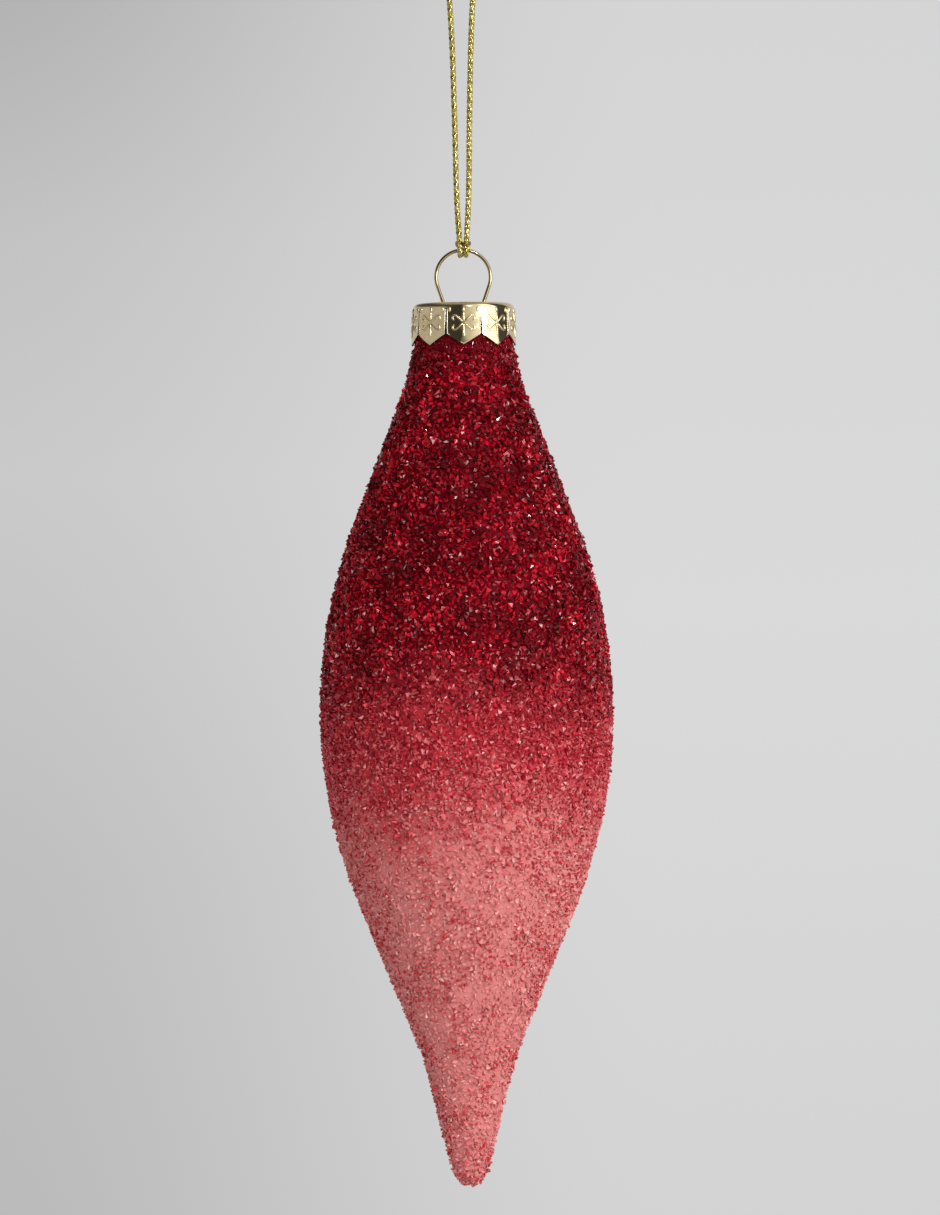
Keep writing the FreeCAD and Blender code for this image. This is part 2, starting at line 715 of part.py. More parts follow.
def draw_wire_section(body):
    """The wire's round section, square to the ring at its top."""
    outline = Outline(new_sketch(body, "wire_section", "YZ_Plane"))
    top = size_of("ring_rise") + size_of("ring_radius")
    section = outline.circle((0, top), size_of("wire_diameter") / 2)
    outline.on_axis((section, 3))
    outline.up(outline.origin(), (section, 3), top, "sizes.ring_rise + sizes.ring_radius")
    outline.radius(section, size_of("wire_diameter") / 2, "sizes.wire_diameter / 2")
    return outline.sketch


def make_hanger_wire():
    """Sprung wire hanger: one length of round wire, swept down one side and mirrored."""
    body = new_body("hanger_wire")
    path = draw_hanger_half(body)
    sweep = body.newObject("PartDesign::AdditivePipe", "bent_wire")
    sweep.Profile = draw_wire_section(body)
    sweep.Spine = (path, ["Edge1", "Edge2", "Edge3", "Edge4"])
    mirror = body.newObject("PartDesign::Mirrored", "both_sides")
    mirror.Originals = [sweep]
    mirror.MirrorPlane = (origin_plane(body, "YZ_Plane"), [""])
    body.Tip = mirror
    place_below_hook(body)
    return body


# Half of the cord's route in the drawing frame, from the knot down behind the ring's
# top, under it, up its front, over and round behind the hanging strands. The other
# half is its mirror image, and the two meet in the bar behind the strands.
CORD_HALF_ROUTE = [
    (0.62, 0.0, 68.2),
    (2.6, 0.0, 61.5),
    (1.75, 0.1, 50.0),
    (1.25, 0.4, 32.0),
    (1.1, 0.7, 20.0),
    (0.6, 0.945, 13.5),
    (0.56, 0.945, 8.705),
    (0.62, -0.945, 8.705),
    (0.95, -0.945, 11.3),
    (1.85, 1.1, 11.5),
    (1.1, 2.05, 11.6),
]


def cord_route():
    """The whole cord's corner points, one end in the knot to the other."""
    right = [Vector(*point) for point in CORD_HALF_ROUTE]
    left = [Vector(-x, y, z) for x, y, z in reversed(CORD_HALF_ROUTE)]
    return right + left


def rounded_path(points):
    """Straight runs joined by tangent arcs as large as their runs allow."""
    edges = []
    radii = []
    start = points[0]
    for before, corner, after in zip(points, points[1:], points[2:]):
        into = (corner - before).normalize()
        out = (after - corner).normalize()
        half_turn = into.getAngle(out) / 2
        setback = 0.45 * min((corner - before).Length, (after - corner).Length)
        radius = setback / math.tan(half_turn)
        arc_start = corner - into * setback
        arc_end = corner + out * setback
        inward = (out - into).normalize()
        middle = corner + inward * (radius / math.cos(half_turn) - radius)
        edges.append(Part.LineSegment(start, arc_start).toShape())
        edges.append(Part.Arc(arc_start, middle, arc_end).toShape())
        radii.append(radius)
        start = arc_end
    edges.append(Part.LineSegment(start, points[-1]).toShape())
    return Part.Wire(edges), radii


def make_hanging_cord():
    """The cord as a plain round tube, hitched on the ring with both ends in the knot."""
    path, radii = rounded_path(cord_route())
    first = path.Edges[0]
    start = first.valueAt(first.FirstParameter)
    direction = first.tangentAt(first.FirstParameter)
    radius = size_of("cord_diameter") / 2
    section = Part.Wire(Part.makeCircle(radius, start, direction))
    tube = path.makePipeShell([section], True, False)
    expected = math.pi * radius ** 2 * path.Length
    print("cord arc radii", [round(radius, 2) for radius in radii])
    print(f"cord length {path.Length:.1f}, volume {tube.Volume:.2f}, section by length {expected:.2f}")
    cord = doc.addObject("Part::Feature", "hanging_cord")
    cord.Label = "hanging_cord"
    cord.Shape = tube
    place_below_hook(cord)
    return cord


def make_cord_knot():
    """The knot that closes the loop: a round body with a flat underside where both
    strands enter, and two short cut ends above it."""
    tuck = 45.0
    end_lean = 14.0
    knot_radius = size_of("knot_radius")
    level = CORD_HALF_ROUTE[0][2] + size_of("knot_gap") + knot_radius * math.sin(math.radians(tuck))
    ball = doc.addObject("Part::Sphere", "knot_ball")
    ball.setExpression("Radius", "sizes.knot_radius")
    ball.Angle1 = -tuck
    ball.Placement.Base = Vector(0, 0, level)
    pieces = [ball]
    for name, lean in (("cord_end_left", -end_lean), ("cord_end_right", end_lean)):
        end = doc.addObject("Part::Cylinder", name)
        end.setExpression("Radius", "sizes.cord_diameter / 2")
        end.setExpression("Height", "sizes.knot_radius + sizes.cord_end_length")
        turn = Rotation(Vector(0, 1, 0), lean)
        end.Placement = Placement(Vector(0, 0, level), turn)
        pieces.append(end)
    knot = doc.addObject("Part::MultiFuse", "cord_knot")
    knot.Label = "cord_knot"
    knot.Shapes = pieces
    place_below_hook(knot)
    return knot


nodes = [
    make_glass_body(),
    make_crushed_glass_coat(),
    make_crown_cap(),
    make_hanger_wire(),
    make_hanging_cord(),
    make_cord_knot(),
]
doc.recompute()

for item in doc.Objects:
    if "Invalid" in item.State or "Error" in item.State:
        raise RuntimeError(f"{item.Name} failed: {item.State}")
for node in nodes:
    if node.Shape.isNull() or not node.Shape.isValid():
        raise RuntimeError(f"{node.Label} has no valid shape")

os.makedirs("parts", exist_ok=True)
for node in nodes:
    node.Shape.exportStep(f"parts/{node.Label}.step")
    box = node.Shape.BoundBox
    print(f"{node.Label}: {len(node.Shape.Solids)} solid, {node.Shape.Volume:.1f} mm3, "
          f"X {box.XMin:.2f} to {box.XMax:.2f}, Z {box.ZMin:.2f} to {box.ZMax:.2f}")
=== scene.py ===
# %% [markdown]
# # A glass drop with a crushed glass coat
#
# This lesson dresses a finished CAD model of a hanging glass ornament. The CAD
# pieces have the true sizes, and Blender gives them their looks. Everything is in
# metres, +Z is up, and the origin is the point under the knot of the cord loop,
# where a hook carries the ornament. The tip of the drop hangs 225 mm lower.

# %% Load the frame
import math

import bmesh
import bpy
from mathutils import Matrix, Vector
from mathutils.bvhtree import BVHTree


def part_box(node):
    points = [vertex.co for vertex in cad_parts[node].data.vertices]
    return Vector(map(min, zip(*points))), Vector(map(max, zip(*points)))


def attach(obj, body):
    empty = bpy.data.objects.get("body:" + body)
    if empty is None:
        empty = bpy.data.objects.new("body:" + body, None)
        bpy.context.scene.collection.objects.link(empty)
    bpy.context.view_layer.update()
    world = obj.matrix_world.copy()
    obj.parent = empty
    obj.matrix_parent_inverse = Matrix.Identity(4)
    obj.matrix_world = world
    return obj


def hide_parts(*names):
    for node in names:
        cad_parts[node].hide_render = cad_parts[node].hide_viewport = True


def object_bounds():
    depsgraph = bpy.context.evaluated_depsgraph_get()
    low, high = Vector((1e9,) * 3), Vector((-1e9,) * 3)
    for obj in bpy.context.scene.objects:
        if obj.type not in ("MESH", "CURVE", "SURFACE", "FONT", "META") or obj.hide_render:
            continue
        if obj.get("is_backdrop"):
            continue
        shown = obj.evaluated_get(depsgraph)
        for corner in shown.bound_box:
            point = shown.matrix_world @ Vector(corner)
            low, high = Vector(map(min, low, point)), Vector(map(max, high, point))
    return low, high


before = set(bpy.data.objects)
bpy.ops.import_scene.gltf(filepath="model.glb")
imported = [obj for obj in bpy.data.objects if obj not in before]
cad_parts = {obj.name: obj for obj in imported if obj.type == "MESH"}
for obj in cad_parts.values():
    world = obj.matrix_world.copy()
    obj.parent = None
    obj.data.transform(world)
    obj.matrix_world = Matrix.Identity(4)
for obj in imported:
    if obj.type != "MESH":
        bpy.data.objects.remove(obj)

MM = 0.001
cad_low, cad_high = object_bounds()
print("CAD box in mm:", [round(v * 1000, 1) for v in (*cad_low, *cad_high)])

# %% [markdown]
# ## The camera
#
# The ornament is photographed level and from the front, with a long lens from
# about 1.2 m, so its sides hardly converge. The visible height there is 218.7 mm,
# and the lens follows from it: on a portrait picture the sensor's 36 mm is the
# height, so the focal length is 36 mm x 1.2 m / 218.7 mm. A camera that looks along
# +Y is turned 90 degrees about X, and half a degree about Y is the slight lean of
# the hanging drop in the picture.

# %% Set the camera up
SENSOR_MM = 36.0
AWAY = 1.2
VISIBLE_HEIGHT = 0.2187
camera_data = bpy.data.cameras.new("front_camera")
camera_data.sensor_width = SENSOR_MM
camera_data.lens = SENSOR_MM * AWAY / VISIBLE_HEIGHT
camera = bpy.data.objects.new("front_camera", camera_data)
camera.location = (0.74 * MM, -AWAY, -120.7 * MM)
camera.rotation_euler = (math.radians(90), math.radians(0.46), 0)
bpy.context.scene.collection.objects.link(camera)
bpy.context.scene.camera = camera
bpy.context.scene.view_settings.view_transform = "Standard"
print("lens in mm:", round(camera_data.lens, 1))

# %% [markdown]
# ## Helpers for new pieces
#
# Every new piece is a mesh whose place is in its vertices, so its object stays at
# the origin. `add_piece` links it, gives it its material and lets it ride with the
# ornament, which hangs as one body. Yarns and beads are drawn as curves with a round
# bevel, and `mesh_of_curve` makes a plain mesh of them.

# %% Add a piece to the ornament
def add_piece(name, mesh, material=None, smooth=True):
    mesh.name = name
    piece = bpy.data.objects.new(name, mesh)
    bpy.context.scene.collection.objects.link(piece)
    if material is not None:
        mesh.materials.clear()
        mesh.materials.append(material)
    mesh.polygons.foreach_set("use_smooth", [smooth] * len(mesh.polygons))
    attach(piece, "root")
    triangles = sum(len(p.vertices) - 2 for p in mesh.polygons)
    print(f"{name}: {triangles} triangles")
    return piece


# %% Turn an object with modifiers or a curve into a plain mesh
def made_real(maker):
    bpy.context.view_layer.update()
    graph = bpy.context.evaluated_depsgraph_get()
    return bpy.data.meshes.new_from_object(maker.evaluated_get(graph), depsgraph=graph)


def thick_curve(name, radius, rounding):
    curve = bpy.data.curves.new(name, "CURVE")
    curve.dimensions = "3D"
    curve.bevel_depth = radius
    curve.bevel_resolution = rounding
    curve.use_fill_caps = True
    return curve


def mesh_of_curve(name, curve):
    maker = bpy.data.objects.new(name, curve)
    bpy.context.scene.collection.objects.link(maker)
    mesh = made_real(maker)
    bpy.data.objects.remove(maker)
    return mesh


# %% [markdown]
# ## Materials as small node graphs
#
# A material starts as a Principled BSDF. Colours that are the same everywhere are
# typed into its sockets, and patterns are linked to it. `node` adds one node and
# sets its inputs by name or number, so a graph reads as a short list of lines. In
# `ramp`, a colour of one number is a grey.

# %% Start a material and add nodes to it
def new_material(name, **sockets):
    material = bpy.data.materials.new(name)
    material.use_nodes = True
    shader = material.node_tree.nodes["Principled BSDF"]
    for socket, value in sockets.items():
        shader.inputs[socket.replace("_", " ")].default_value = value
    return material, material.node_tree, shader


def node(tree, kind, settings=None, **inputs):
    made = tree.nodes.new(kind)
    for name, value in (settings or {}).items():
        setattr(made, name, value)
    for name, value in inputs.items():
        key = int(name[1:]) if name[0] == "i" and name[1:].isdigit() else name.replace("_", " ")
        if isinstance(value, bpy.types.NodeSocket):
            tree.links.new(value, made.inputs[key])
        else:
            made.inputs[key].default_value = value
    return made


def ramp(tree, factor, stops):
    made = node(tree, "ShaderNodeValToRGB", Fac=factor)
    elements = made.color_ramp.elements
    elements.remove(elements[1])
    elements[0].position = stops[0][0]
    marks = [elements[0]] + [elements.new(place) for place, colour in stops[1:]]
    for mark, (place, colour) in zip(marks, stops):
        mark.color = (*(colour * 3)[:3], 1)
    return made.outputs["Color"]


def remap(tree, value, low, high, to_low=0.0, to_high=1.0, kind="SMOOTHSTEP"):
    made = node(tree, "ShaderNodeMapRange", {"interpolation_type": kind}, Value=value)
    for name, number in zip(("From Min", "From Max", "To Min", "To Max"), (low, high, to_low, to_high)):
        made.inputs[name].default_value = number
    return made.outputs["Result"]


def sums(tree, operation, first, second=0.0, third=0.0):
    return node(tree, "ShaderNodeMath", {"operation": operation}, i0=first, i1=second, i2=third).outputs[0]


def mixed(tree, factor, first, second, blend="MIX"):
    settings = {"data_type": "RGBA", "blend_type": blend}
    made = node(tree, "ShaderNodeMix", settings, i0=factor, i6=first, i7=second)
    return made.outputs[2]


def own_place(tree):
    return node(tree, "ShaderNodeTexCoord").outputs["Object"]


def noise(tree, place, scale, detail=2.0, roughness=0.5):
    made = node(tree, "ShaderNodeTexNoise", Vector=place, Scale=scale, Detail=detail, Roughness=roughness)
    return made.outputs["Fac"]


def bumped(tree, shader, height, strength, distance):
    made = node(tree, "ShaderNodeBump", Height=height, Strength=strength, Distance=distance)
    tree.links.new(made.outputs["Normal"], shader.inputs["Normal"])


# %% [markdown]
# ## The hanging cord's route
#
# The cord is one length of metallic braid, doubled and hitched on the wire ring with
# a lark's head: both tails come down behind the ring, pass under its wire, come up
# in front and meet in a small bar behind the tails. The weight of the glass keeps it
# straight. One curve of a few listed points, smoothed as a NURBS spline, is the
# easiest way to draw such a route, and the other half is its mirror image.

# %% Draw the route as a NURBS curve
HALF_ROUTE_MM = (
    (0.62, 0, 2.2), (2.6, 0, -4.5), (1.75, 0.1, -16), (1.3, 0.4, -34), (1.12, 0.7, -47),
    (0.66, 0.945, -54.2), (0.46, 0.945, -57.3), (0.5, -0.945, -57.3), (0.6, -1.05, -55.9),
    (0.98, 0.2, -55.1), (0.75, 1.8, -55.2),
)
route_mm = list(HALF_ROUTE_MM) + [(-x, y, z) for x, y, z in reversed(HALF_ROUTE_MM)]


def nurbs_line(name, points_mm):
    curve = bpy.data.curves.new(name, "CURVE")
    curve.dimensions = "3D"
    curve.resolution_u = 24
    spline = curve.splines.new("NURBS")
    spline.points.add(len(points_mm) - 1)
    for point, (x, y, z) in zip(spline.points, points_mm):
        point.co = (x * MM, y * MM, z * MM, 1)
    spline.order_u = 3
    spline.use_endpoint_u = True
    mesh = mesh_of_curve(name, curve)
    line = [v.co.copy() for v in mesh.vertices]
    bpy.data.meshes.remove(mesh)
    return line


def length_of(line):
    return sum((b - a).length for a, b in zip(line, line[1:]))


cord_line = nurbs_line("cord_route", route_mm)
print("cord length in mm:", round(length_of(cord_line) * 1000, 1))

# %% [markdown]
# ## Braiding the cord
#
# The real cord is a round braid of four flat metallic yarns: two run round it one
# way and two the other, over and under each other, so a plump stitch shows every
# 1.75 mm. Each yarn is a curve that winds round the route. At a crossing the yarn
# on top lies a little further out and the other one dips under it. The curve's own
# bevel gives the yarn its thickness, which is far simpler than sweeping it by hand.
#
# A frame that is carried along the route without twisting tells each point where
# "outwards" is, so the braid stays even through the tight hitch. The crossings lie at
# 45 degrees to the viewer, which shows two columns of stitches and an even edge.

# %% Carry a frame along a line without twisting it
def even_line(line, step):
    placed, left = [line[0]], step
    for a, b in zip(line, line[1:]):
        span = (b - a).length
        while left <= span:
            placed.append(a.lerp(b, left / span))
            left += step
        left -= span
    return placed


def carried_frames(line):
    side = Vector((1, 0, 0))
    frames = []
    for i, point in enumerate(line):
        ahead = (line[min(i + 1, len(line) - 1)] - line[max(i - 1, 0)]).normalized()
        side = (side - ahead * side.dot(ahead)).normalized()
        frames.append((point, side.copy(), ahead.cross(side)))
    return frames


# %% Wind four yarns round a line
STITCH = 1.75 * MM
YARN_RADIUS = 0.245 * MM
REACH = 0.27 * MM
HOP = 0.08 * MM
STEP = 0.15 * MM
FIRST_CROSSING = math.radians(45)


def braid_mesh(name, lines):
    curve = thick_curve(name, YARN_RADIUS, 1)
    for line in lines:
        frames = carried_frames(even_line(line, STEP))
        for k in range(4):
            turn = 1 if k % 2 else -1
            start = FIRST_CROSSING + math.pi * (k // 2)
            yarn = curve.splines.new("POLY")
            yarn.points.add(len(frames) - 1)
            for i, (point, side, up) in enumerate(frames):
                along = i * STEP / (2 * STITCH) * math.tau
                angle = start + turn * along
                out = REACH + turn * HOP * math.cos(2 * along)
                place = point + (side * math.cos(angle) + up * math.sin(angle)) * out
                yarn.points[i].co = (*place, 1)
    return mesh_of_curve(name, curve)


# %% [markdown]
# ## The metallic yarn
#
# The yarn is a core wrapped in metallised film: bright yellow where a stitch faces
# the light, olive and almost black where it turns away. Polished metal on curved
# yarns does that by itself. A little noise in the colour and in the roughness keeps
# it from looking like solid wire.

# %% Make the yarn's material
gilt_yarn, tree, shader = new_material("gilt_yarn", Metallic=1.0, Coat_Weight=0.35, Coat_Roughness=0.12)
place = own_place(tree)
gilt = ramp(tree, noise(tree, place, 700.0), [
    (0.3, (0.45, 0.34, 0.06)), (0.5, (0.57, 0.46, 0.12)), (0.7, (0.76, 0.66, 0.30))])
tree.links.new(gilt, shader.inputs["Base Color"])
dullness = remap(tree, noise(tree, place, 2500.0), 0.3, 0.7, 0.15, 0.24)
tree.links.new(dullness, shader.inputs["Roughness"])

# %% Make the braided cord
cord_mesh = braid_mesh("braided_cord", [cord_line])
braided_cord = add_piece("braided_cord", cord_mesh, gilt_yarn)
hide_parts("hanging_cord")

# %% [markdown]
# ## The knot
#
# Above the picture the two ends are tied together in an overhand knot, and about
# 7 mm of each end stands free. Both cords follow the same knot line side by side.
# The knot line rises, turns once round itself and comes up through its own loop.
# The free ends lean away from each other.

# %% Tie the knot
KNOT_LINE_MM = (
    (0, 0, 1.3), (0, 0.05, 2.3), (0.15, -0.75, 3.2), (1.35, -0.95, 3.95),
    (1.75, 0.35, 4.6), (0.45, 1.25, 4.75), (-1.25, 0.95, 4.3), (-1.55, -0.55, 3.7),
    (-0.35, -1.45, 3.9), (0.35, -0.5, 4.9), (0.1, 0.1, 5.9), (0, 0.05, 7.0),
)
BESIDE = 0.45 * MM


def beside(line, reach):
    return [point + side * reach for point, side, up in carried_frames(line)]


knot_line = nurbs_line("knot_route", KNOT_LINE_MM)
knot_lines = [beside(knot_line, BESIDE), beside(knot_line, -BESIDE)]
end_lines = [
    nurbs_line("end_route", [(0.45, 0.05, 6.6), (0.7, 0.05, 8.2), (1.3, -0.1, 10.4), (1.75, -0.4, 12.4)]),
    nurbs_line("end_route", [(-0.45, 0.05, 6.6), (-0.8, 0.1, 8.2), (-1.2, 0.3, 10.2), (-1.95, 0.5, 12.0)]),
]
knot_mesh = braid_mesh("tied_knot", knot_lines + end_lines)
tied_knot = add_piece("tied_knot", knot_mesh, gilt_yarn)
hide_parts("cord_knot")

# %% [markdown]
# ## The crown and its wire
#
# The crown is thin brass-coloured sheet, bright as a mirror, and the wire is a
# darker, warmer gold. A mirror has almost no colour pattern of its own: what shows
# is the room in it. Very soft waves in the sheet bend those reflections, and faint
# fine scratches blur them in places. The pressed ridges are duller than the sheet,
# and the cut edges are duller still; their paler colour is a painted highlight, the
# bright line of light that the sheet's edge catches. The glass under the coat has a
# dark red lacquer.

# %% Make the metals and the lacquered glass
def polished_metal(name, colour, roughness, wave, wave_scale):
    metal, tree, shader = new_material(name, Metallic=1.0, Roughness=roughness)
    place = own_place(tree)
    worn = noise(tree, place, 700.0, 4.0, 0.6)
    dimmed = [c * 0.86 for c in colour]
    tint = mixed(tree, remap(tree, worn, 0.35, 0.75), (*colour, 1), (*dimmed, 1))
    tree.links.new(tint, shader.inputs["Base Color"])
    dullness = remap(tree, worn, 0.3, 0.8, roughness * 0.6, roughness * 1.7)
    tree.links.new(dullness, shader.inputs["Roughness"])
    bumped(tree, shader, noise(tree, place, wave_scale, 1.0), wave, 0.0002)
    return metal


crown_metal = polished_metal("pale_gold_sheet", (0.79, 0.65, 0.39), 0.09, 0.35, 420.0)
ridge_metal = polished_metal("pressed_gold_sheet", (0.79, 0.65, 0.39), 0.26, 0.1, 420.0)
# The cut edge's paler colour is a painted highlight: the bright line the sheet's edge catches.
edge_and_highlight_metal = polished_metal("cut_gold_edge_painted_highlight", (0.90, 0.81, 0.62), 0.42, 0.1, 420.0)
wire_metal = polished_metal("gold_wire", (0.44, 0.33, 0.18), 0.14, 0.04, 500.0)
lacquered_glass, tree, shader = new_material(
    "red_lacquered_glass", Roughness=0.16, Coat_Weight=0.5, Coat_Roughness=0.05)
depth = noise(tree, own_place(tree), 90.0, 3.0)
lacquer = ramp(tree, depth, [(0.35, (0.16, 0.002, 0.008)), (0.65, (0.27, 0.004, 0.014))])
tree.links.new(lacquer, shader.inputs["Base Color"])

# %% Give the CAD pieces their finishes
finishes = {"crown_cap": crown_metal, "hanger_wire": wire_metal, "glass_body": lacquered_glass}
for name, material in finishes.items():
    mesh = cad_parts[name].data
    mesh.materials.clear()
    mesh.materials.append(material)
    print(name, "has the finish", material.name)

# %% [markdown]
# ## The crown's stamped stars
#
# Each petal is stamped with a plain star: two upright arms, four slanting arms that
# end in little hooks, and three oval dimples above. The CAD crown has them as low
# ridges with sharp edges, and pressed sheet is round. So each ridge gets a round
# bead, a curve with a bevel that is partly sunk in the sheet. The curves are drawn
# flat, in millimetres from the star's middle, and wrapped on the crown's cone. A finer
# bead follows each petal's cut edge, just inside the slit. One petal's beads are spun
# into nine.

# %% Draw the middle lines of one petal's ridges
CROWN_TOP = -66.0
SHOULDER = 1.0
SKIRT_RADIUS = 9.1
SKIRT_HEIGHT = 6.7
FLARE = 0.4
STAR_DEPTH = 3.75
ARM = 1.75
SLANT = math.radians(42.5)
HOOK = 0.42


def on_the_crown(x, down, sink):
    radius = SKIRT_RADIUS + FLARE * (down - SHOULDER) / SKIRT_HEIGHT - sink
    angle = x / radius - math.pi / 2
    return Vector((radius * math.cos(angle), radius * math.sin(angle), CROWN_TOP - down)) * MM


def hooked_arm(across, down):
    bend = Vector((math.cos(SLANT), math.sin(SLANT))) * ARM
    centre = bend + Vector((math.sin(SLANT), -math.cos(SLANT))) * HOOK
    points = [bend * 0.12, bend * 0.2, bend * 0.6, bend]
    for i in range(1, 11):
        angle = math.pi / 2 + SLANT - math.radians(22) * i
        points.append(centre + Vector((math.cos(angle), math.sin(angle))) * HOOK)
    return [(x * across, y * down) for x, y in points]


ridges = [hooked_arm(across, down) for across in (1, -1) for down in (1, -1)]
ridges.append([(0, -1.9), (0, -1.75), (0, -1.0), (0, -0.35), (0, -0.2)])
ridges.append([(0, 0.2), (0, 0.35), (0, 1.4), (0, 2.35), (0, 2.5)])
petal_edge = [(-2.97, -2.4), (-2.98, 0), (-2.98, 1.95), (0, 3.78), (2.98, 1.95), (2.98, 0), (2.97, -2.4)]
print("ridges in one star:", len(ridges))


# %% Raise the beads and spin them round the crown
PETALS = 9


def lay_bead(curve, points, radii, sink):
    spline = curve.splines.new("POLY")
    spline.points.add(len(points) - 1)
    for point, (x, y), radius in zip(spline.points, points, radii):
        point.co = (*on_the_crown(x, STAR_DEPTH + y, sink), 1)
        point.radius = radius


def spun_beads(name, beads, metal):
    curve = thick_curve(name, 1.0 * MM, 2)
    for bead in beads:
        lay_bead(curve, *bead)
    mesh = mesh_of_curve(name, curve)
    turned = bmesh.new()
    turned.from_mesh(mesh)
    bead_parts = turned.verts[:] + turned.edges[:] + turned.faces[:]
    bmesh.ops.spin(turned, geom=bead_parts, cent=(0, 0, 0), axis=(0, 0, 1),
                   angle=math.radians(360 / PETALS * (PETALS - 1)), steps=PETALS - 1, use_duplicate=True)
    bmesh.ops.recalc_face_normals(turned, faces=turned.faces)
    turned.to_mesh(mesh)
    turned.free()
    add_piece(name, mesh, metal)


beads = [(ridge, [0.14] + [0.22] * (len(ridge) - 2) + [0.14], 0.05) for ridge in ridges]
shares = [-0.97, -0.85, -0.5, 0.0, 0.5, 0.85, 0.97]
dimple_radii = [0.3 * math.sqrt(1 - share * share) for share in shares]
for across in (-2.5, 0.0, 2.5):
    dimple = [(across, 1.4 - STAR_DEPTH + 0.52 * share) for share in shares]
    beads.append((dimple, dimple_radii, 0.08))
spun_beads("stamped_stars", beads, ridge_metal)
# The edge beads carry a painted highlight in their paler colour.
spun_beads("petal_edges", [(petal_edge, [0.1] * len(petal_edge), 0.02)], edge_and_highlight_metal)

# %% [markdown]
# ## The ground of the coat
#
# Under the crushed glass lies the lacquered drop, tinted from ruby to a frosted
# pink. Its profile is measured on the CAD glass with rays shot at its side, one
# every 1.5 mm, pushed out by the thickness of the glue, and spun once round the
# axis. That keeps the ground true to the glass whatever its size.
#
# The spin operator may list its new faces in another order on the next run, and the
# grains that are scattered later follow that order. So the faces are sorted by the
# numbers of their corners, and every run lays the same grains.

# %% Measure the drop and spin its ground
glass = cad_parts["glass_body"]
glass_corners = [v.co for v in glass.data.vertices]
glass_faces = [p.vertices for p in glass.data.polygons]
glass_tree = BVHTree.FromPolygons(glass_corners, glass_faces)
GROUND = 0.42 * MM
RAY_START = 0.05


def ground_profile(top, bottom, step=1.5 * MM):
    count = max(2, round((top - bottom) / step))
    points = []
    for i in range(count + 1):
        height = top + (bottom - top) * i / count
        hit, normal = glass_tree.ray_cast(Vector((RAY_START, 0.0, height)), Vector((-1, 0, 0)))[:2]
        if hit:
            out = Vector((abs(normal.x), 0, normal.z)).normalized()
            points.append(Vector((hit.x, 0, hit.z)) + out * GROUND)
    return points


def corner_rank(face, count):
    corners = sorted(v.index for v in face.verts)
    return corners[0] + count * (corners[1] + count * corners[-1])


def spun(name, points, steps=120):
    turned = bmesh.new()
    chain = [turned.verts.new(p) for p in points]
    edges = [turned.edges.new(pair) for pair in zip(chain, chain[1:])]
    bmesh.ops.spin(turned, geom=chain + edges, cent=(0, 0, 0), axis=(0, 0, 1),
                   angle=math.tau, steps=steps, use_merge=True)
    bmesh.ops.remove_doubles(turned, verts=turned.verts, dist=1e-6)
    bmesh.ops.recalc_face_normals(turned, faces=turned.faces)
    turned.verts.index_update()
    turned.faces.sort(key=lambda face: corner_rank(face, len(turned.verts)))
    mesh = bpy.data.meshes.new(name)
    turned.to_mesh(mesh)
    turned.free()
    return mesh


COAT_TOP = -70.6 * MM
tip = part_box("glass_body")[0].z
drop_line = ground_profile(COAT_TOP, tip + 0.35 * MM) + [Vector((0, 0, tip - GROUND))]
under_crown = Vector((drop_line[0].x - GROUND - 0.3 * MM, 0, COAT_TOP + 0.1 * MM))
print("drop radii in mm:", [round(p.x * 1000, 1) for p in drop_line[::12]])

# %% [markdown]
# ## Where ruby turns to pink
#
# One gradient along the height drives the ground and every grain, so they fade
# together. It reads the piece's own Object coordinates, which are the ornament's,
# and a slow noise makes its edge uneven, as a dipped or sprayed coat is. A value of
# 0 is the ruby end and 1 the pink end.

# %% Write the gradient once
FADE_HIGH, FADE_LOW = -0.124, -0.170


def fade_of(tree, place, blur=0.0):
    height = node(tree, "ShaderNodeSeparateXYZ", Vector=place).outputs["Z"]
    drift = sums(tree, "MULTIPLY", sums(tree, "SUBTRACT", noise(tree, place, 45.0, 3.0), 0.5), 0.024)
    height = sums(tree, "ADD", height, drift)
    if blur:
        scatter = node(tree, "ShaderNodeAttribute", {"attribute_name": "grain"}).outputs["Fac"]
        blurred = sums(tree, "MULTIPLY", sums(tree, "SUBTRACT", scatter, 0.5), blur)
        height = sums(tree, "ADD", height, blurred)
    return remap(tree, height, FADE_HIGH, FADE_LOW, kind="LINEAR")


def faded(tree, fade, ruby, rose, pink):
    upper = mixed(tree, remap(tree, fade, 0.0, 0.5), ruby, rose)
    return mixed(tree, remap(tree, fade, 0.45, 1.0), upper, pink)


# %% Make the ground's material
coat_ground, tree, shader = new_material("tinted_ground", IOR=1.5, Specular_IOR_Level=0.06)
place = own_place(tree)
fade = fade_of(tree, place)
mottled = noise(tree, place, 260.0, 3.0, 0.6)
ruby = mixed(tree, mottled, (0.05, 0.0003, 0.002, 1), (0.15, 0.001, 0.006, 1))
rose = mixed(tree, mottled, (0.40, 0.014, 0.026, 1), (0.54, 0.045, 0.060, 1))
pink = mixed(tree, mottled, (0.58, 0.16, 0.155, 1), (0.68, 0.25, 0.235, 1))
tree.links.new(faded(tree, fade, ruby, rose, pink), shader.inputs["Base Color"])
tree.links.new(remap(tree, mottled, 0, 1, 0.55, 0.75), shader.inputs["Roughness"])
bumped(tree, shader, noise(tree, place, 1500.0, 4.0, 0.7), 0.6, 0.00015)
ground_mesh = spun("tinted_ground", [under_crown] + drop_line)
tinted_ground = add_piece("tinted_ground", ground_mesh, coat_ground)
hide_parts("crushed_glass_coat")

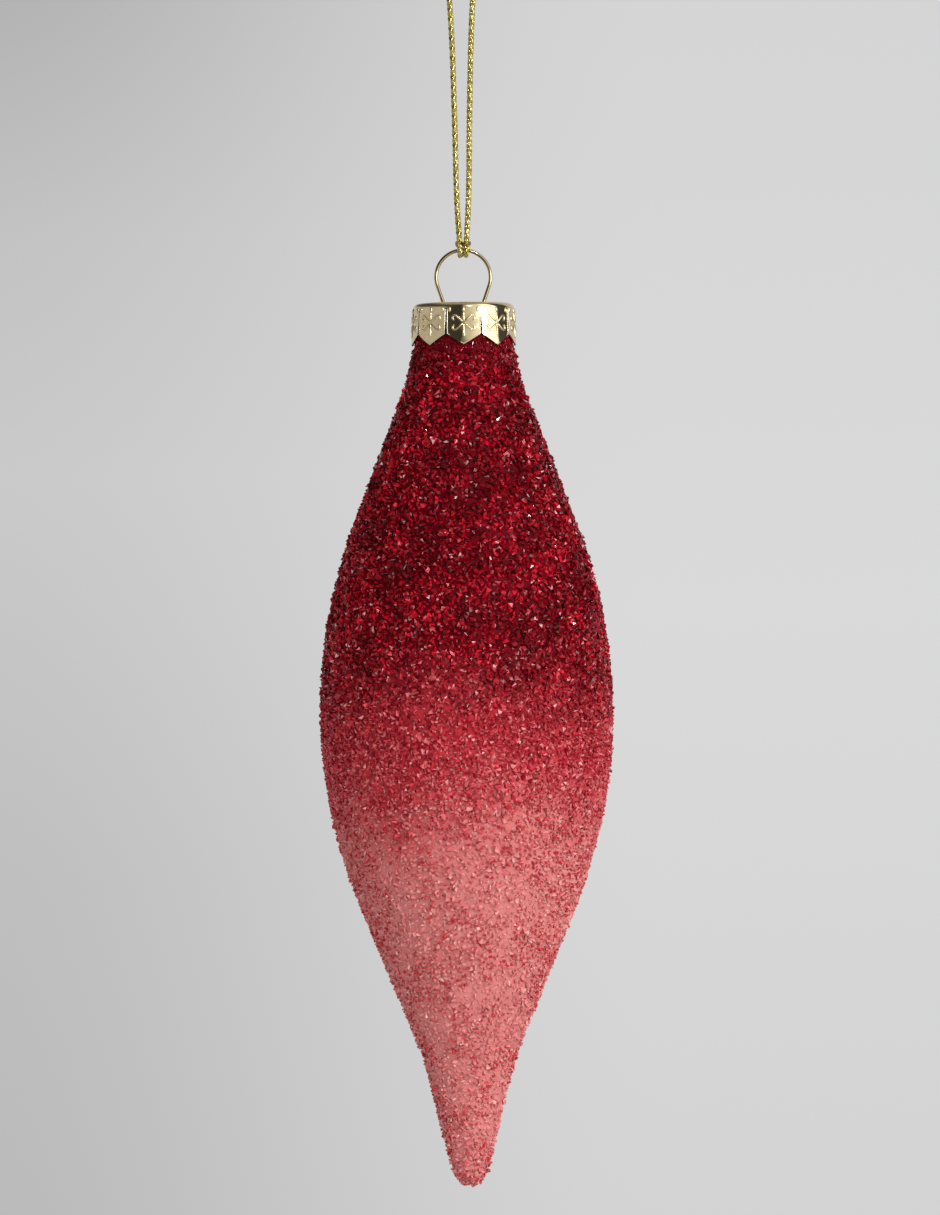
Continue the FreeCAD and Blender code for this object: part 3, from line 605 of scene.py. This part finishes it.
# %% [markdown]
# ## Crushed glass, one grain at a time
#
# A crushed grain is a chip with flat broken faces and sharp corners. A convex hull
# round a few random points is exactly that, and eleven points give eighteen triangles
# at most, which matters because thousands of grains are laid. Each kind has a few
# variants, kept in a collection that isn't linked to the scene.

# %% Break some grains
def hash_number(n):
    value = math.sin(n * 12.9898 + 4.137) * 43758.5453
    return value - math.floor(value)


def broken_grains(kind, variants, points, size, stretch, seed):
    basket = bpy.data.collections.new(kind)
    for k in range(variants):
        chip = bmesh.new()
        for i in range(points):
            n = seed + 97 * k + 7 * i
            rise, turn = 2 * hash_number(n) - 1, math.tau * hash_number(n + 3)
            flat = math.sqrt(1 - rise * rise)
            reach = 0.5 * size * (0.78 + 0.44 * hash_number(n + 5))
            across = reach * flat
            chip.verts.new((across * math.cos(turn) * stretch[0], across * math.sin(turn) * stretch[1],
                            reach * rise * stretch[2]))
        hull = bmesh.ops.convex_hull(chip, input=chip.verts, use_existing_faces=False)
        unused = [v for v in hull["geom_interior"] if isinstance(v, bmesh.types.BMVert)]
        bmesh.ops.delete(chip, geom=unused, context="VERTS")
        bmesh.ops.recalc_face_normals(chip, faces=chip.faces)
        mesh = bpy.data.meshes.new(f"{kind}_{k}")
        chip.to_mesh(mesh)
        chip.free()
        basket.objects.link(bpy.data.objects.new(f"{kind}_{k}", mesh))
    return basket


ruby_chips = broken_grains("ruby_chip", 8, 10, 1.3 * MM, (1.15, 0.9, 0.66), 11)
sugar_chips = broken_grains("sugar_chip", 6, 11, 1.1 * MM, (1.1, 0.92, 0.74), 301)
red_slivers = broken_grains("red_sliver", 5, 9, 0.85 * MM, (1.2, 0.8, 0.7), 601)

# %% [markdown]
# ## Scattering the grains
#
# Geometry Nodes lay the grains as a hand would: Distribute Points on Faces in its
# Poisson mode keeps them a set distance apart, each point is moved a random little
# way into the glue or off it, and Instance on Points drops one of the broken grains
# there, turned at random. `thin` says between which heights the grains thin out, and
# `keep` in which band of heights they stay. Two random numbers are stored for the
# finish: `grain`, one for each grain, and `facet`, one for each broken face, which
# picks the painted light of that face. The result is made real, so it is a plain mesh.

# %% Two short names for long nodes
def random_number(tree, seed, low=0.0, high=1.0, **fields):
    settings = {"data_type": "FLOAT"}
    made = node(tree, "FunctionNodeRandomValue", settings, i2=low, i3=high, Seed=seed, **fields)
    return made.outputs[1]


def stored(tree, geometry, domain, name, value):
    settings = {"data_type": "FLOAT", "domain": domain}
    made = node(tree, "GeometryNodeStoreNamedAttribute", settings,
                Geometry=geometry, Name=name, Value=value)
    return made.outputs[0]


# %% Build the scatter graph
CROWDING = 5.0


def scatter_graph(basket, apart, size, lift, tilt, seed, thin, keep, clumps=0.0):
    tree = bpy.data.node_groups.new("scatter_grains", "GeometryNodeTree")
    tree.interface.new_socket("Geometry", in_out="INPUT", socket_type="NodeSocketGeometry")
    tree.interface.new_socket("Geometry", in_out="OUTPUT", socket_type="NodeSocketGeometry")
    given = node(tree, "NodeGroupInput")
    place = node(tree, "GeometryNodeInputPosition").outputs[0]
    height = node(tree, "ShaderNodeSeparateXYZ", Vector=place).outputs["Z"]
    share = remap(tree, height, *thin)
    if clumps:
        uneven = remap(tree, noise(tree, place, 150.0), 0.4, 0.6, 1 - clumps, 1)
        share = sums(tree, "MULTIPLY", share, uneven)
    points = node(tree, "GeometryNodeDistributePointsOnFaces", {"distribute_method": "POISSON"},
                  Mesh=given.outputs[0], Distance_Min=apart, Density_Max=CROWDING / apart ** 2,
                  Density_Factor=share, Seed=seed)
    above = sums(tree, "GREATER_THAN", height, keep[0])
    below = sums(tree, "LESS_THAN", height, keep[1])
    band = node(tree, "GeometryNodeDeleteGeometry", {"domain": "POINT"},
                Geometry=points.outputs["Points"], Selection=sums(tree, "ADD", above, below))
    offset = node(tree, "ShaderNodeVectorMath", {"operation": "SCALE"},
                  i0=points.outputs["Normal"], Scale=random_number(tree, seed + 1, *lift))
    lifted = node(tree, "GeometryNodeSetPosition", Geometry=band.outputs[0], Offset=offset.outputs[0])
    bins = node(tree, "GeometryNodeCollectionInfo", Collection=basket,
                Separate_Children=True, Reset_Children=True)
    laid = node(tree, "GeometryNodeInstanceOnPoints", Points=lifted.outputs[0], Instance=bins.outputs[0],
                Pick_Instance=True, Rotation=points.outputs["Rotation"],
                Scale=random_number(tree, seed + 2, *size))
    leaning = node(tree, "FunctionNodeRandomValue", {"data_type": "FLOAT_VECTOR"},
                   i0=(-tilt, -tilt, 0), i1=(tilt, tilt, math.tau), Seed=seed + 3)
    turned = node(tree, "GeometryNodeRotateInstances",
                  Instances=laid.outputs[0], Rotation=leaning.outputs[0])
    told = stored(tree, turned.outputs[0], "INSTANCE", "grain", random_number(tree, seed + 4))
    real = node(tree, "GeometryNodeRealizeInstances", Geometry=told)
    # facet: a random number for each face, which picks its painted light in the grain finishes
    index = node(tree, "GeometryNodeInputIndex").outputs[0]
    faceted = stored(tree, real.outputs[0], "FACE", "facet", random_number(tree, seed + 5, ID=index))
    node(tree, "NodeGroupOutput", Geometry=faceted)
    return tree


# %% Lay one kind of grain
def lay_grains(name, material, **how):
    bed = bpy.data.objects.new(name, spun(name + "_bed", drop_line, steps=72))
    bpy.context.scene.collection.objects.link(bed)
    laying = bed.modifiers.new("scatter", "NODES")
    laying.node_group = scatter_graph(**how)
    mesh = made_real(bed)
    bpy.data.objects.remove(bed)
    piece = add_piece(name, mesh, material, smooth=False)
    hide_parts("crushed_glass_coat")


# %% [markdown]
# ## The grains' colour and painted light
#
# Looked at closely, a red grain is never one red: a face may show the dark inside,
# glow where light comes through, or flash pale pink where it throws the studio back.
# These are painted into the colour: the `facet` number picks painted shade, a painted
# glow or a painted reflection for each face, and the `grain` number makes whole grains
# lighter or darker at random. Sharp gloss does the rest. Below the fade the same
# glass is frosted: pale, rough and sugary, with small clear red splinters in it, and
# its palest faces are painted glints too.

# %% Make the crushed glass finishes and their painted light
def crushed_glass(name, ruby_tone_and_painted_light, rose_tone_and_painted_light, pink_tone_and_painted_light, gloss, frost, blur, shine):
    glassy, tree, shader = new_material(name, IOR=1.55, Specular_IOR_Level=shine)
    place = own_place(tree)
    fade = fade_of(tree, place, blur)
    facet = node(tree, "ShaderNodeAttribute", {"attribute_name": "facet"}).outputs["Fac"]
    grain = node(tree, "ShaderNodeAttribute", {"attribute_name": "grain"}).outputs["Fac"]
    patches = remap(tree, noise(tree, place, 130.0, 2.0), 0.35, 0.65, 0.62, 1.2)
    # The facet ramps paint light into the colour: dark stops are painted shade, the reds a painted glow,
    # the palest stops painted reflections.
    deep = mixed(tree, 1.0, ramp(tree, facet, ruby_tone_and_painted_light), patches, "MULTIPLY")
    colour = faded(tree, fade, deep, ramp(tree, facet, rose_tone_and_painted_light), ramp(tree, facet, pink_tone_and_painted_light))
    spread = remap(tree, fade, 0, 1, 0.28, 0.11)
    uneven = sums(tree, "MULTIPLY_ADD", sums(tree, "MULTIPLY_ADD", grain, 2.0, -1.0), spread, 1.0)
    colour = mixed(tree, 1.0, colour, uneven, "MULTIPLY")
    tree.links.new(colour, shader.inputs["Base Color"])
    tree.links.new(remap(tree, fade, 0, 1, gloss, frost), shader.inputs["Roughness"])
    return glassy


# In each list of stops the darkest are painted shade and the palest, at the top, are painted glints of the
# studio.
ruby_glass = crushed_glass(
    "ruby_crushed_glass",
    [(0.0, (0.02, 0.0003, 0.001)), (0.3, (0.10, 0.0006, 0.004)), (0.6, (0.28, 0.0015, 0.009)),
     (0.95, (0.44, 0.009, 0.022)), (0.985, (0.55, 0.15, 0.17)), (1.0, (0.9, 0.55, 0.55))],
    [(0.0, (0.20, 0.003, 0.010)), (0.5, (0.44, 0.020, 0.034)), (0.9, (0.60, 0.09, 0.10)),
     (1.0, (0.75, 0.35, 0.35))],
    [(0.0, (0.36, 0.02, 0.03)), (0.4, (0.52, 0.07, 0.08)), (1.0, (0.66, 0.19, 0.18))],
    gloss=0.07, frost=0.3, blur=0.016, shine=0.11)
sugar_glass = crushed_glass(
    "sugar_crushed_glass",
    [(0.0, (0.06, 0.001, 0.004)), (0.6, (0.22, 0.003, 0.012)), (1.0, (0.42, 0.04, 0.05))],
    [(0.0, (0.30, 0.008, 0.018)), (0.5, (0.48, 0.035, 0.05)), (1.0, (0.64, 0.14, 0.15))],
    [(0.0, (0.56, 0.15, 0.145)), (0.5, (0.65, 0.205, 0.195)), (0.92, (0.71, 0.26, 0.245)),
     (1.0, (0.84, 0.48, 0.46))],
    gloss=0.25, frost=0.55, blur=0.02, shine=0.22)
splinter_glass = crushed_glass(
    "red_splinter_glass",
    [(0.0, (0.06, 0.001, 0.004)), (1.0, (0.28, 0.008, 0.02))],
    [(0.0, (0.20, 0.002, 0.010)), (1.0, (0.48, 0.025, 0.04))],
    [(0.0, (0.40, 0.012, 0.026)), (0.6, (0.58, 0.05, 0.062)), (1.0, (0.68, 0.14, 0.135))],
    gloss=0.12, frost=0.2, blur=0.016, shine=0.2)

# %% [markdown]
# ## Laying the coat
#
# Under the petals the grains are small, as they would be where the crown was pushed
# over them. The ruby grains come as two pieces that meet at one height, because a
# single mesh of them would have over 200,000 triangles. They share one bed, so the
# join doesn't show. The sugary grains take over further down, and the red splinters
# lie on top of them in loose clumps.

# %% Lay the ruby grains, the sugary grains and the red splinters
ruby_bed = {
    "basket": ruby_chips, "apart": 0.59 * MM, "size": (0.65, 1.15), "lift": (-0.1 * MM, 0.22 * MM),
    "tilt": 1.3, "seed": 1, "thin": (-0.168, -0.146),
}
lay_grains("neck_grains", ruby_glass, basket=sugar_chips, apart=0.45 * MM, size=(0.5, 0.75),
           lift=(-0.05 * MM, 0.12 * MM), tilt=0.9, seed=21, thin=(-1.0, -0.9), keep=(0.0, -0.0746))
lay_grains("ruby_grains_upper", ruby_glass, keep=(-0.0744, -0.110), **ruby_bed)
lay_grains("ruby_grains_middle", ruby_glass, keep=(-0.110, -1.0), **ruby_bed)
lay_grains("sugar_grains", sugar_glass, basket=sugar_chips, apart=0.70 * MM, size=(0.6, 1.2),
           lift=(-0.1 * MM, 0.2 * MM), tilt=1.2, seed=41, thin=(-0.136, -0.158), keep=(0.0, -1.0))
lay_grains("red_splinters", splinter_glass, basket=red_slivers, apart=0.74 * MM, size=(0.5, 1.25),
           lift=(0.16 * MM, 0.42 * MM), tilt=1.0, seed=61, thin=(-0.128, -0.150), keep=(0.0, -1.0),
           clumps=0.9)

# %% [markdown]
# ## The studio
#
# The drop hangs in front of a soft grey wall. What the metal mirrors is a plain
# studio: pale walls, a bright soft window to the right of the camera and two dark
# gaps, one at the camera and one far right. The world shader draws that room from
# the direction alone: an angle round the ornament picks a value from a ramp. The
# walls are a little brighter low down, the upper left is dark, the ceiling is grey
# and the white table shines from below. Camera rays get the quiet grey backdrop
# instead, with painted light on it: lighter to the right, and on the left brightest
# a little above level and darker above and below.

# %% Paint the room
world = bpy.data.worlds.new("soft_studio")
bpy.context.scene.world = world
world.use_nodes = True
tree = world.node_tree
background = tree.nodes["Background"]
direction = node(tree, "ShaderNodeTexCoord").outputs["Generated"]
axes = node(tree, "ShaderNodeSeparateXYZ", Vector=direction)
x, y, z = (axes.outputs[i] for i in range(3))
round_about = sums(tree, "ARCTAN2", x, sums(tree, "MULTIPLY", y, -1.0))
around = remap(tree, round_about, -math.pi, math.pi, kind="LINEAR")


def at(degrees):
    return (degrees + 180) / 360


room = ramp(tree, around, [
    (at(-180), (0.70,)), (at(-118), (0.60,)), (at(-46), (0.60,)), (at(-34), (0.06,)), (at(-6), (0.05,)),
    (at(10), (0.80,)), (at(40), (1.35,)), (at(46), (2.2,)), (at(78), (2.2,)), (at(84), (0.08,)),
    (at(116), (0.08,)), (at(124), (0.68,)), (at(180), (0.72,))])
ceiling = remap(tree, z, 0.75, 0.95)
lower = remap(tree, z, -0.35, -0.7)
brighter_low = remap(tree, z, -0.6, 0.6, 1.12, 0.80, "LINEAR")
room = mixed(tree, 1.0, room, brighter_low, "MULTIPLY")
left_high = sums(tree, "MULTIPLY", remap(tree, x, -0.1, -0.5), remap(tree, z, 0.18, 0.42))
room = mixed(tree, left_high, room, (0.08, 0.08, 0.08, 1))
room = mixed(tree, ceiling, room, (0.38, 0.36, 0.32, 1))
room = mixed(tree, lower, room, (0.95, 0.95, 0.95, 1))
up = remap(tree, z, -0.1, 0.1, kind="LINEAR")
# Painted light on the backdrop: the left wall is darker low and high and brightest a little above level,
# and the right side is lighter.
left_wall = ramp(tree, up, [
    (0.05, (0.49,)), (0.3, (0.515,)), (0.6, (0.585,)), (0.78, (0.54,)), (1.0, (0.42,))])
right_wall = ramp(tree, up, [(0.0, (0.65,)), (0.5, (0.70,)), (1.0, (0.66,))])
backdrop = mixed(tree, remap(tree, x, -0.08, 0.03), left_wall, right_wall)
rays = node(tree, "ShaderNodeLightPath")
seen = mixed(tree, rays.outputs["Is Camera Ray"], room, backdrop)
tree.links.new(seen, background.inputs["Color"])
background.inputs["Strength"].default_value = 1.0
print("world:", world.name)

# %% [markdown]
# ## Lamps and floor
#
# The room gives most of the light. A soft area lamp on the right shapes the drop, a
# small one near the camera gives the grains their sparkle, and a wide weak one low
# on the left stands for light thrown up by a white table. That one is hidden from
# the mirrors. The floor lies well below the tip, keeps the soft shadow and fades out
# at its rim.

# %% Hang the lamps
def area_lamp(name, place, power, size, aim=(0, 0, -0.135)):
    data = bpy.data.lights.new(name, "AREA")
    data.energy, data.shape, data.size = power, "DISK", size
    lamp = bpy.data.objects.new(name, data)
    lamp.location = place
    lamp.rotation_euler = (Vector(aim) - Vector(place)).to_track_quat("-Z", "Y").to_euler()
    bpy.context.scene.collection.objects.link(lamp)
    print(name, power, "W")
    return lamp


area_lamp("key_lamp", (1.0, -1.1, 0.0), 8.4, 0.5)
area_lamp("sparkle_lamp", (0.35, -1.3, 0.75), 7.0, 0.12)
area_lamp("table_bounce", (-0.8, -0.8, -0.33), 6.2, 0.9).visible_glossy = False

# %% Lay the floor
FLOOR_RADIUS = 1.2
FLOOR_HEIGHT = -0.35
floor_mesh = bpy.data.meshes.new("pale_floor")
disc = bmesh.new()
bmesh.ops.create_circle(disc, cap_ends=True, cap_tris=True, segments=64, radius=FLOOR_RADIUS)
bmesh.ops.translate(disc, verts=disc.verts, vec=(0, 0, FLOOR_HEIGHT))
disc.to_mesh(floor_mesh)
disc.free()
floor_paint, tree, shader = new_material("pale_floor", Roughness=0.9)
shader.inputs["Base Color"].default_value = (0.62, 0.62, 0.625, 1)
level = node(tree, "ShaderNodeVectorMath", {"operation": "MULTIPLY"}, i0=own_place(tree), i1=(1, 1, 0))
distance = node(tree, "ShaderNodeVectorMath", {"operation": "LENGTH"}, i0=level.outputs[0])
fading = remap(tree, distance.outputs["Value"], 0.45, 1.15, 1.0, 0.0)
tree.links.new(fading, shader.inputs["Alpha"])
floor = bpy.data.objects.new("pale_floor", floor_mesh)
floor_mesh.materials.append(floor_paint)
bpy.context.scene.collection.objects.link(floor)
floor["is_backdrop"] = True
print("floor at", round(FLOOR_HEIGHT * 1000), "mm")

# %% [markdown]
# ## Measure and finish
#
# The box of the dressed model is compared with the CAD box, and how far it grows
# on each side is printed.

# %% Write the sizes and finish
look_low, look_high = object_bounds()
starts = (*look_low, *cad_high)
ends = (*cad_low, *look_high)
print("grown in mm:", [round((end - start) * 1000, 2) for start, end in zip(starts, ends)])
